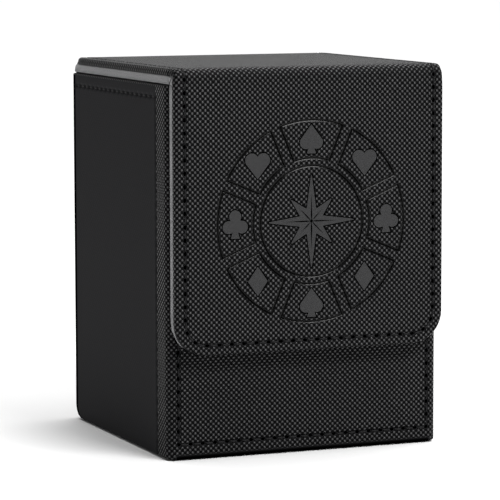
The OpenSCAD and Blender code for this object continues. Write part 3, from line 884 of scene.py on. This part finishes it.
FRONT_R, BACK_R = 2.4, 1.6  # the upright corners
WALL = node_mm("front_lining")[0][1] - wrap_lo[1]  # leatherette and board
RIM = wrap_hi[2]
FLOOR = wrap_lo[2]
WRAP_X, WRAP_FRONT, WRAP_BACK = wrap_hi[0], wrap_lo[1], wrap_hi[1]
BODY_ROW_X = node_mm("front_stitching")[1][0] - THREAD_R
BODY_ROW_LOW = 4.3  # height of the front's lower row
SIDE_ROW_Y = left_row_lo[1] + THREAD_R
SIDE_ROW_TOP = left_row_hi[2] - THREAD_R
SIDE_ROW_END = left_row_hi[1]
SIDE_HOLES = 0.85  # the side rows have smaller needle holes
UPRIGHTS = math.floor((SIDE_ROW_TOP - BODY_ROW_LOW) / PITCH)
FRONT_COUNT = round(2 * BODY_ROW_X / PITCH)
SIDE_COUNT = round((SIDE_ROW_END - SIDE_ROW_Y) / PITCH)
BOTTOM_R, RIM_R = 0.5, 0.45
SHADED_EDGE_H = 0.55  # height of the painted shade along the front's lower edge, where it stands on the floor
SIDE_SINK = 0.14  # the side rows are pulled in further
SEAM_SHADE_W, SEAM_DEPTH = 1.9, 0.12  # pressed seamline on the side walls beside the back corners, painted near black as shade
SEAM_SHADE_FADE = 0.95  # width in which it turns deep and its painted shade dark
HEEL_REACH = 12  # the side walls follow the heel this far from the back
LIP, LIP_W = 0.5, 1.3  # how far the turned lower edge swells below the wrap's floor, and its width
BASE_EDGE = 8  # how far the wrap goes in under the base
BACK_CORNER_SHADE = 0.9  # how dark the painted shade is on the seamline and on the back corners beside it
# How much embossing shows on the sides, in front of their upright rows, at the front and back corners, and
# inside the rim.
SIDE_DOTS, NEAR_DOTS, CORNER_DOTS, BACK_DOTS, RIM_DOTS = 0.03, 0.75, 0.8, 0.4, 0.6
EDGE_SHADE = 0.7  # how dark the painted shade along the front's lower edge is


def wall_back(z):
    """Outer face of the back wall at a height, drawn in round the heel."""
    up = np.clip(FLOOR + WALL_HEEL_R - z, 0, WALL_HEEL_R)
    return WRAP_BACK - WALL_HEEL_R + math.sqrt(WALL_HEEL_R ** 2 - up ** 2)


def perimeter():
    """Places round the walls as (panel, place along it), anticlockwise from the front's left end."""
    front = WRAP_X - FRONT_R
    across = hole_lines(-BODY_ROW_X, BODY_ROW_X, FRONT_COUNT)
    near = np.concatenate([BODY_ROW_X + ACROSS_ROW, -BODY_ROW_X + ACROSS_ROW])
    x_lines = joined([-front, front], across, near[np.abs(near) < front])
    side_end = WRAP_BACK - BACK_R
    y_lines = joined([WRAP_FRONT + FRONT_R], hole_lines(SIDE_ROW_Y, SIDE_ROW_END, SIDE_COUNT),
                     SIDE_ROW_Y + ACROSS_ROW, side_end - np.linspace(SEAM_SHADE_W, 0, 6))
    turn = np.linspace(0, 1, 9)[1:-1]
    places = [("front", x) for x in x_lines] + [("corner 0", t) for t in turn]
    places += [("right", y) for y in y_lines] + [("corner 1", t) for t in turn]
    places += [("back", x) for x in np.linspace(WRAP_X - BACK_R, BACK_R - WRAP_X, 9)]
    places += [("corner 2", t) for t in turn] + [("left", y) for y in y_lines[::-1]]
    return places + [("corner 3", t) for t in turn]


MIRRORED = {"left": "right", "corner 2": "corner 1", "corner 3": "corner 0"}


def wall_point(panel, t, z, inset, back_inset):
    """Place in plan of one point of the walls, drawn in by an inset, or by the back inset at the back."""
    if panel in MIRRORED:
        x, y = wall_point(MIRRORED[panel], t if panel == "left" else 1 - t, z, inset, back_inset)
        return -x, y
    if panel == "front":
        return t, WRAP_FRONT + inset
    back = wall_back(z)
    if panel == "back":
        return t, back - back_inset
    hold, corner = WRAP_BACK - HEEL_REACH, back - BACK_R
    if panel == "right":
        stretch = (corner - hold) / (WRAP_BACK - BACK_R - hold)
        return WRAP_X - inset, t if t < hold else hold + (t - hold) * stretch
    across, deep = math.sin(t * math.pi / 2), math.cos(t * math.pi / 2)
    if panel == "corner 0":
        radius = FRONT_R - inset
        return WRAP_X - FRONT_R + radius * across, WRAP_FRONT + FRONT_R - radius * deep
    return WRAP_X - BACK_R + (BACK_R - inset) * deep, corner + (BACK_R - back_inset) * across


def body_relief(panel, t, z):
    """Height of the wrap from its stitch rows and pressed seamline at heights z, and how much of its
    embossing is left, below 0 how dark its painted shade is.

    The place t is along the panel, or from 0 to 1 round a corner."""
    run = SIDE_ROW_TOP - BODY_ROW_LOW
    along = z - BODY_ROW_LOW
    sunk = 0.0
    if panel == "front":
        upright = row_relief(np.full_like(z, abs(t) - BODY_ROW_X), along, UPRIGHTS, run)
        level = row_relief(along, np.full_like(z, t + BODY_ROW_X), FRONT_COUNT, 2 * BODY_ROW_X)
        plain = 1.0
    elif panel in ("left", "right"):
        behind = np.full_like(z, t - SIDE_ROW_Y)
        upright = row_relief(behind, np.maximum(along, 0), UPRIGHTS, run, SIDE_HOLES)
        span = SIDE_ROW_END - SIDE_ROW_Y
        level = row_relief(z - SIDE_ROW_TOP, behind, SIDE_COUNT, span, SIDE_HOLES)
        plain = NEAR_DOTS if t < SIDE_ROW_Y else SIDE_DOTS
        before = WRAP_BACK - BACK_R - t
        # painted shade: the side wall turns near black beside the back corner, over a real pressed dent
        seam_and_shade = smooth((SEAM_SHADE_W - before) / SEAM_SHADE_FADE)
        plain -= (plain + BACK_CORNER_SHADE) * seam_and_shade
        sunk = SEAM_DEPTH * seam_and_shade * smooth(before / 0.4)
    elif panel in ("corner 1", "corner 2"):
        # painted shade: the back corners darken towards the back
        from_back = 1 - t if panel == "corner 1" else t
        tone = BACK_DOTS - (BACK_DOTS + BACK_CORNER_SHADE) * smooth((from_back - 0.25) / 0.5)
        return np.zeros_like(z), np.full_like(z, tone)
    else:
        return np.zeros_like(z), np.full_like(z, CORNER_DOTS)
    deeper = np.minimum(upright, level)
    height = np.where(deeper < -0.01, deeper, np.maximum(upright, level))
    # painted shade along the front's lower edge, by the floor
    edge = smooth((FLOOR + SHADED_EDGE_H + 0.1 - z) / 0.2) * (panel == "front")
    return height - sunk, plain * dots_left(height) * (1 - edge) - EDGE_SHADE * edge


def body_profile():
    """Rings of the wrap's outside from under the base to over the rim, as (inset, back inset, height), and
    the numbers of the first ring on the flat of the walls and of the first one past it."""
    foot, neck = FLOOR + BOTTOM_R, RIM - RIM_R
    z_lines = joined(hole_lines(BODY_ROW_LOW, SIDE_ROW_TOP, UPRIGHTS), BODY_ROW_LOW + ACROSS_ROW,
                     SIDE_ROW_TOP + ACROSS_ROW, [foot, FLOOR + SHADED_EDGE_H - 0.1, FLOOR + SHADED_EDGE_H + 0.1, neck])
    z_lines = z_lines[(z_lines >= foot) & (z_lines <= neck)]
    profile = [(LIP_W, 0.0, FLOOR)]
    profile += [(LIP_W / 2 * (1 - math.sin(a)), 0.0, FLOOR - LIP + LIP * (1 - math.cos(a)))
                for a in np.linspace(-math.pi / 3, math.pi / 2, 8)[:-1]]
    flat_start = len(profile)
    profile += [(0.0, 0.0, z) for z in z_lines]
    flat_end = len(profile)
    for a in quarter_turn(6)[1:]:
        inset = RIM_R * (1 - math.cos(a))
        profile.append((inset, inset, RIM - RIM_R * (1 - math.sin(a))))
    profile.append((SKIN + 0.6, SKIN + 0.6, RIM))
    return profile, flat_start, flat_end


def body_leather():
    places = perimeter()
    profile, flat_start, flat_end = body_profile()
    loops = []
    for inset, back_inset, z in profile:
        loops.append([(*wall_point(panel, t, z, inset, back_inset), z) for panel, t in places])

    def boxed(loop, inset, z):
        """The loop at a height z, kept inside the walls drawn in by an inset."""
        half, low, high = WRAP_X - inset, WRAP_FRONT + inset, WRAP_BACK - inset
        return [(min(max(x, -half), half), min(max(y, low), high), z) for x, y, _ in loop]

    rim = loops[-1]
    loops.append(boxed(rim, WALL - 0.25, RIM))
    loops.append(boxed(rim, WALL, RIM - 0.25))
    loops.append(boxed(rim, WALL, RIM - SKIN))
    loops += [[(*wall_point(panel, t, z, SKIN, SKIN), z) for panel, t in places]
              for z in (RIM - SKIN, FLOOR + WALL_HEEL_R + SKIN, FLOOR + 2.5, FLOOR + SKIN)]
    keep = 1 - BASE_EDGE / WRAP_X  # the loops under the base are the outer one made smaller
    for z in (FLOOR + SKIN, FLOOR):
        loops.append([(x * keep, y * keep, z) for x, y, _ in loops[0]])
    points = np.array(loops)
    heights = np.zeros(points.shape[:2])
    dots = np.full(points.shape[:2], -UNDERSIDE_SHADE)
    dots[flat_end:] = RIM_DOTS
    z = np.array([place[2] for place in profile])
    for j, (panel, t) in enumerate(places):
        relief, left = body_relief(panel, t, z)
        heights[flat_start:flat_end, j] = relief[flat_start:flat_end]
        dots[:flat_end, j] = left[:flat_end]
    plan = points[flat_start + 10]  # a ring low on the walls
    step = np.roll(plan, -1, axis=0) - np.roll(plan, 1, axis=0)
    out = unit(np.stack([step[:, 1], -step[:, 0], np.zeros(len(plan))], axis=-1))
    points = points + heights[..., None] * out[None]
    round_walls = plan[0, 0] + run_along(plan)
    left_side = np.array([panel in ("left", "corner 3") for panel, _ in places])
    whole = round_walls[-1] + np.linalg.norm(plan[0] - plan[-1]) - plan[0, 0]
    round_walls = np.where(left_side, round_walls - whole, round_walls)
    up = run_along(points[:, 0])
    grain = np.stack(np.broadcast_arrays(round_walls[None, :], up[:, None]), axis=-1)
    rows, columns = points.shape[:2]
    index = grid_index(rows, columns)
    first, last = np.append(index[0], index[0, 0]), np.append(index[-1], index[-1, 0])
    faces = grid_faces(rows, columns, wrap_columns=True) + bridge(last, first)
    piece = make_piece("body_leather", points, faces, LEATHER, grain=grain, dots=dots)
    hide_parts("body_wrap")
    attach(piece, "box")


def body_thread():
    forward = (0, -1, 0)
    left, right = (-BODY_ROW_X, WRAP_FRONT, BODY_ROW_LOW), (BODY_ROW_X, WRAP_FRONT, BODY_ROW_LOW)
    rows = {"front": [], "left": [], "right": []}
    for foot in (left, right):
        rows["front"] += straight_row(foot, (*foot[:2], SIDE_ROW_TOP), forward, UPRIGHTS)
    rows["front"] += straight_row(left, right, forward, FRONT_COUNT)
    for side, place in ((-1, "left"), (1, "right")):
        x, outward = side * (WRAP_X - SIDE_SINK), (side, 0, 0)
        low, corner = (x, SIDE_ROW_Y, BODY_ROW_LOW), (x, SIDE_ROW_Y, SIDE_ROW_TOP)
        rows[place] += straight_row((x, SIDE_ROW_Y, FLOOR + BOTTOM_R), low, outward, 1)
        rows[place] += straight_row(low, corner, outward, UPRIGHTS)
        rows[place] += straight_row(corner, (x, SIDE_ROW_END, SIDE_ROW_TOP), outward, SIDE_COUNT)
    for place, stitches in rows.items():
        piece = thread_piece(f"{place}_thread", stitches)
        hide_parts(f"{place}_stitching")
        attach(piece, "box")


# ---------- microfibre ----------

SOFT_EDGE = 0.3  # radius of its edges
PROUD = 0.2  # how far it stands past its solid at the sides


def rounded_outline(corners):
    """Closed outline from corners given as (a, b, radius), convex corners rounded."""
    places = np.array([c[:2] for c in corners], float)
    outline = []
    for k, (_, _, radius) in enumerate(corners):
        here = places[k]
        before, after = unit(places[k - 1] - here), unit(places[(k + 1) % len(corners)] - here)
        if radius <= 0:
            outline.append(here)
            continue
        half = math.acos(np.clip(before @ after, -1, 1)) / 2
        reach = radius / math.tan(half)
        centre = here + unit(before + after) * radius / math.sin(half)
        start, end = here + before * reach - centre, here + after * reach - centre
        sweep = math.atan2(start[0] * end[1] - start[1] * end[0], start @ end)
        for t in np.linspace(0, sweep, 7):
            turn = np.array([[math.cos(t), -math.sin(t)], [math.sin(t), math.cos(t)]])
            outline.append(centre + turn @ start)
    return np.array(outline)


def filled(outline, spacing):
    """Adds points along an outline so that none are further apart than the spacing."""
    points = []
    for here, there in zip(outline, np.roll(outline, -1, axis=0)):
        count = max(1, math.ceil(np.linalg.norm(there - here) / spacing))
        points += [here + (there - here) * k / count for k in range(count)]
    return np.array(points)


def rounded_ends(low, high, radius, count, between=()):
    """Stations of a sweep from low to high as (place, inset), for two rounded ends and what is between."""
    ends = [(radius * (1 - math.cos(a)), radius * (1 - math.sin(a))) for a in quarter_turn(count)]
    stations = [(low + run, inset) for run, inset in ends] + list(between)
    return stations + [(high - run, inset) for run, inset in ends[::-1]]


def across_piece(name, outline, half, edge, stretch=1.0):
    """A closed outline in y and z carried across the box, its two ends slightly rounded.

    stretch is how much longer the grain runs round the outline than the outline itself."""
    after = np.roll(outline, -1, axis=0) - outline
    before = outline - np.roll(outline, 1, axis=0)
    along = unit(unit(after) + unit(before))
    area = np.sum(outline[:, 0] * np.roll(outline[:, 1], -1) - outline[:, 1] * np.roll(outline[:, 0], -1))
    inward = np.stack([-along[:, 1], along[:, 0]], axis=-1) * np.sign(area)
    points = np.array([np.column_stack([np.full(len(outline), x), outline + inward * inset])
                       for x, inset in rounded_ends(-half, half, edge, 5, [(0.0, 0.0)])])
    rows, columns = points.shape[:2]
    grain = np.stack([points[..., 0], np.tile(run_along(outline) * stretch, (rows, 1))], axis=-1)
    piece = make_piece(name, points, tube_faces(rows, columns), SUEDE, grain=grain)
    return piece


def lid_suede():
    """The lid's inner layer, microfibre over board, rounded at the back so that it turns inside the hinge."""
    low, high = lining_lo[2], lining_hi[2]
    end_r = lining_hi[1] - HINGE_C[0]
    stop = math.asin((high - low) / end_r)
    arc = [HINGE_C + end_r * np.array([math.cos(a), math.sin(a)]) for a in np.linspace(0.12, stop, 12)]
    outline = rounded_outline([(lining_lo[1], high, 0), (lining_lo[1], low, 0),
                               (lining_hi[1], low, SOFT_EDGE), (lining_hi[1], high, 0)])
    outline = np.vstack([outline[:-1], arc])
    piece = across_piece("lid_suede", filled(outline, 4.0), lining_hi[0] + PROUD, SOFT_EDGE)
    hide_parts("lid_lining", "lid_inner_board")
    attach(piece, "lid")


def flap_suede():
    """The flap's inner layer, microfibre over board."""
    half = flap_lining_hi[0] + PROUD
    radius = CORNER_R - (HALF - half)
    top = flap_lining_hi[2]
    end = top - flap_lining_lo[2]
    depth = flap_lining_hi[1] - flap_lining_lo[1]
    u_lines = mirrored(joined(spread((0, half - 2, 4.0)), spread((half - 2, half + depth + 0.6, 0.2))))
    d_lines = joined(spread((0, end - 2, 4.0)), spread((end - 2, end + depth + 0.6, 0.3)))

    def edge_at(past, d):
        out, down = edge_profile(past + SOFT_EDGE, SOFT_EDGE, 0.1, depth)
        return out - SOFT_EDGE, down

    def place_at(x, d, level):
        return np.column_stack([x, flap_lining_hi[1] + level, top - d])

    piece = panel_piece("flap_suede", SUEDE, u_lines, d_lines, half, end - radius, radius, depth,
                        edge_at, place_at)
    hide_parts("flap_lining")
    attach(piece, "flap")


FOLD_STRETCH = 6.0  # the lining in the fold's corner is drawn out when the flap opens
HINGE_LINING_T = 0.5  # thickness of the lining inside the back hinge


def fold_suede():
    """The inner layer's corner at the front fold: a square corner."""
    y0, z1 = fold_lining_lo[1], fold_lining_hi[2]
    y1, z0 = fold_lining_hi[1], fold_lining_lo[2]
    notch = (flap_lining_hi[1], lining_lo[2])
    outline = np.array([(y1, z1), (y0, z1), (y0, z0), (notch[0], z0), notch, (y1, notch[1])])
    piece = across_piece("fold_suede", filled(outline, 0.1), fold_lining_hi[0] + PROUD, SOFT_EDGE,
                         stretch=FOLD_STRETCH)
    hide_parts("fold_lining")
    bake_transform(piece)


def hinge_suede():
    """The lining inside the back hinge: a quarter ring."""
    outer = hinge_lining_hi[1] - HINGE_C[0]
    inner = outer - HINGE_LINING_T
    turn = quarter_turn(33)
    ring = np.column_stack([np.cos(turn), np.sin(turn)])
    outline = np.vstack([HINGE_C + outer * ring, HINGE_C + inner * ring[::-1]])
    piece = across_piece("hinge_suede", outline, hinge_lining_hi[0], 0.15)
    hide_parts("hinge_lining")
    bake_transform(piece)


def sheet_piece(name, node, along, thin):
    """A flat compartment lining as a thin slab with rounded edges. along and thin name its axes."""
    low, high = node_mm(node)
    other = 3 - along - thin
    corners = [(a, b, SOFT_EDGE) for a, b in ((low[thin], low[other]), (high[thin], low[other]),
                                              (high[thin], high[other]), (low[thin], high[other]))]
    outline = filled(rounded_outline(corners), 6.0)
    middle = np.array([(low[thin] + high[thin]) / 2, (low[other] + high[other]) / 2])
    half_size = np.array([high[thin] - low[thin], high[other] - low[other]]) / 2
    points = []
    for place, inset in rounded_ends(low[along], high[along], SOFT_EDGE, 4):
        scale = 1 - inset / half_size
        flat = middle + (outline - middle) * scale
        ring = np.zeros((len(outline), 3))
        ring[:, along], ring[:, thin], ring[:, other] = place, flat[:, 0], flat[:, 1]
        points.append(ring)
    piece = make_piece(name, np.array(points), tube_faces(len(points), len(outline)), SUEDE)
    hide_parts(node)
    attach(piece, "box")


# ---------- put together ----------

def bend_at_fold(piece):
    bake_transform(piece)


def bend_at_hinge(piece):
    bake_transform(piece)


def strip_pieces():
    lid = strip_piece("lid_leather", joined(spread((LID_START + OVERLAP, HINGE_START - OVERLAP, 3.0)),
                                            hole_lines(LID_START, HINGE_START, LID_COUNT)[6:-6]))
    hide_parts("lid_cover")
    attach(lid, "lid")
    fold = strip_piece("fold_leather", spread((FOLD_START - OVERLAP, LID_START + OVERLAP, 0.18)))
    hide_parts("front_fold")
    bend_at_fold(fold)
    hinge = strip_piece("hinge_leather", spread((HINGE_START - OVERLAP, SPINE_START + OVERLAP, 0.2)))
    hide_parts("back_hinge")
    bend_at_hinge(hinge)
    spine_holes = hole_lines(SPINE_START, SPINE_STOP, SPINE_COUNT)[6:]
    spine = strip_piece("spine_leather", joined([SPINE_START + OVERLAP], spine_holes,
                                                spread((SPINE_STOP, HEEL_START, 0.5)),
                                                spread((HEEL_START, BASE_START, 0.4)),
                                                spread((BASE_START, STRIP_END, 4.0))))
    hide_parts("spine_cover")
    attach(spine, "box")
    row = strip_thread("lid_thread", LID_START, HINGE_START, LID_COUNT, "lid_stitching")
    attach(row, "lid")
    row = strip_thread("spine_thread", SPINE_START, SPINE_STOP, SPINE_COUNT, "spine_stitching")
    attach(row, "box")
    row = thread_piece("fold_thread", cross_stitches(FOLD_START, LID_START, 1))
    bend_at_fold(row)
    row = thread_piece("hinge_thread", cross_stitches(HINGE_START, SPINE_START, 2))
    bend_at_hinge(row)


strip_pieces()
flap_leather()
flap_thread()
body_leather()
body_thread()
lid_suede()
flap_suede()
fold_suede()
hinge_suede()
for place, along, thin in (("front", 0, 1), ("back", 0, 1), ("left", 1, 0), ("right", 1, 0), ("base", 0, 2)):
    sheet_piece(f"{place}_suede", f"{place}_lining", along, thin)

for node_name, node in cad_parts.items():
    for part, finish in (("board", BOARD), ("magnets", MAGNET)):
        if part in node_name:
            node.data.materials.clear()
            node.data.materials.append(finish)


# ---------- floor, light and camera ----------

scene = bpy.context.scene


def floor():
    n = Nodes("floor")
    size = 30.0  # metres to each side, so that its edge is out of view
    mesh = bpy.data.meshes.new("floor")
    corners = [(-size, -size, 0), (size, -size, 0), (size, size, 0), (-size, size, 0)]
    mesh.from_pydata(corners, [], [(0, 1, 2, 3)])
    mesh.materials.append(n.set(color=(0.8, 0.8, 0.8), roughness=0.8, specular=0.2))
    plane = bpy.data.objects.new("floor", mesh)
    scene.collection.objects.link(plane)


def soft_light(name, place, target, width, height, watts):
    data = bpy.data.lights.new(name, "AREA")
    data.shape = "RECTANGLE"
    data.size, data.size_y, data.energy = width, height, watts
    lamp = bpy.data.objects.new(name, data)
    lamp.location = place
    lamp.rotation_euler = (Vector(target) - Vector(place)).to_track_quat("-Z", "Y").to_euler()
    scene.collection.objects.link(lamp)


def soft_sun(name, towards, strength, spread_degrees):
    data = bpy.data.lights.new(name, "SUN")
    data.energy, data.angle = strength, math.radians(spread_degrees)
    lamp = bpy.data.objects.new(name, data)
    lamp.rotation_euler = Vector(towards).to_track_quat("Z", "Y").to_euler()
    scene.collection.objects.link(lamp)


def studio():
    middle = (0, 0, 0.05)
    soft_light("key", (0.3, -0.75, 0.85), middle, width=0.5, height=0.3, watts=12.0)
    soft_light("far", (0.9, 1.9, 0.65), middle, width=1.4, height=0.6, watts=2.1)
    soft_sun("daylight", towards=(0.32, 0.3, 1.0), strength=3.2, spread_degrees=80)
    world = bpy.data.worlds.new("studio")
    world.use_nodes = True
    background = world.node_tree.nodes["Background"]
    background.inputs["Color"].default_value = (1, 1, 1, 1)
    background.inputs["Strength"].default_value = 0.34
    scene.world = world


def camera():
    data = bpy.data.cameras.new("camera")
    data.lens = 207.0
    data.sensor_width = 36
    data.clip_start, data.clip_end = 0.01, 20
    eye = bpy.data.objects.new("camera", data)
    place = (-0.304995, -0.743831, 0.140159)
    right = Vector((0.92522, -0.37941, -0.00231))
    up = Vector((0.04392, 0.10105, 0.99391))
    turn = Matrix((right, up, right.cross(up))).transposed().to_4x4()
    eye.matrix_world = Matrix.Translation(place) @ turn
    scene.collection.objects.link(eye)
    scene.camera = eye


floor()
studio()
camera()
scene.view_settings.view_transform = "Standard"
